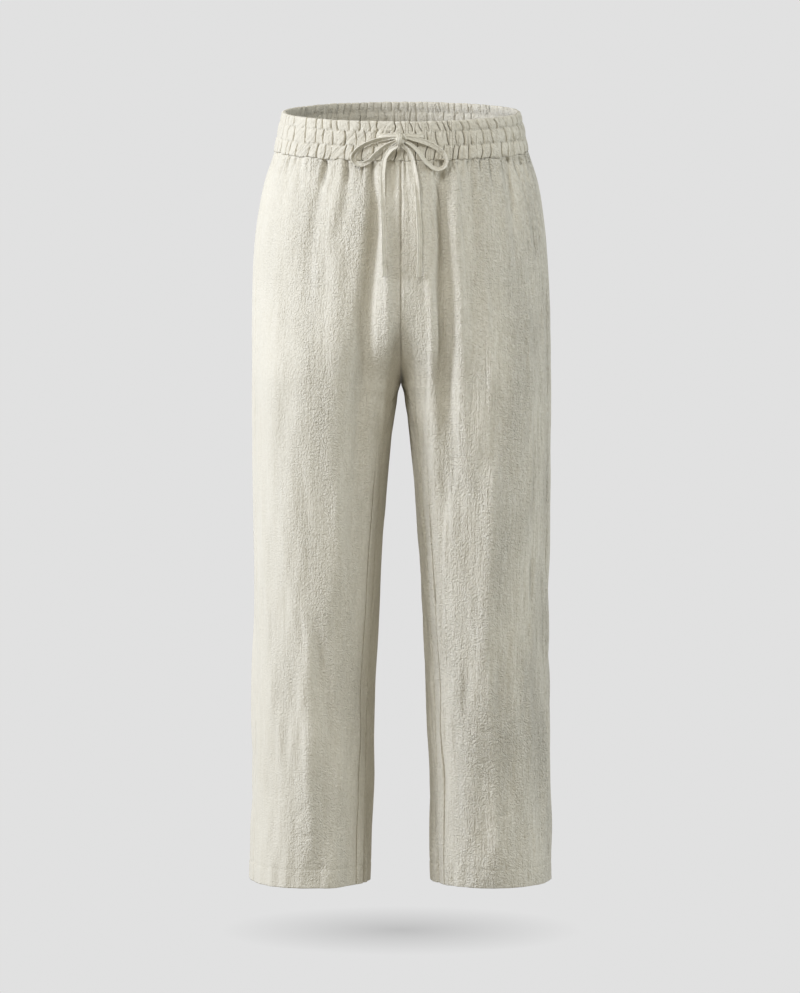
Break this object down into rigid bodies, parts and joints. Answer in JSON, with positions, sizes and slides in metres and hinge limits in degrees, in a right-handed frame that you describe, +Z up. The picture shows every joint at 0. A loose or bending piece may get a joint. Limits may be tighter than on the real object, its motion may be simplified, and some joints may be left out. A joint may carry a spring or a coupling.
{
  "type": "linen drawstring trousers",
  "caption": "Straight-leg linen trousers in their worn shape, with a gathered elastic waistband, a tied drawstring and in-seam pockets.",
  "frame": {"origin": "middle of the waist at the height of the drawstring, where the wearer holds the trousers up", "axes": "+Z up along the legs towards the waist, -Y to the front, +X to the wearer's left"},
  "size_m": [0.394, 0.2604, 1.0082],
  "materials": {
    "linen": "light oat linen, plain weave with a fine vertical crinkle and slubs, matt",
    "drawstring_tape": "flat tape of the same linen, pressed and edge stitched, matt"
  },
  "bodies": {
    "root": {"front_left": "linen", "front_right": "linen", "back_left": "linen", "back_right": "linen", "waistband": "linen", "pocket_facing_left": "linen", "pocket_facing_right": "linen", "drawstring_lead_left": "drawstring_tape", "drawstring_lead_right": "drawstring_tape", "drawstring_loop_left": "drawstring_tape", "drawstring_loop_right": "drawstring_tape", "drawstring_tail_left": "drawstring_tape", "drawstring_tail_right": "drawstring_tape", "drawstring_knot": "drawstring_tape"}
  },
  "joints": []
}
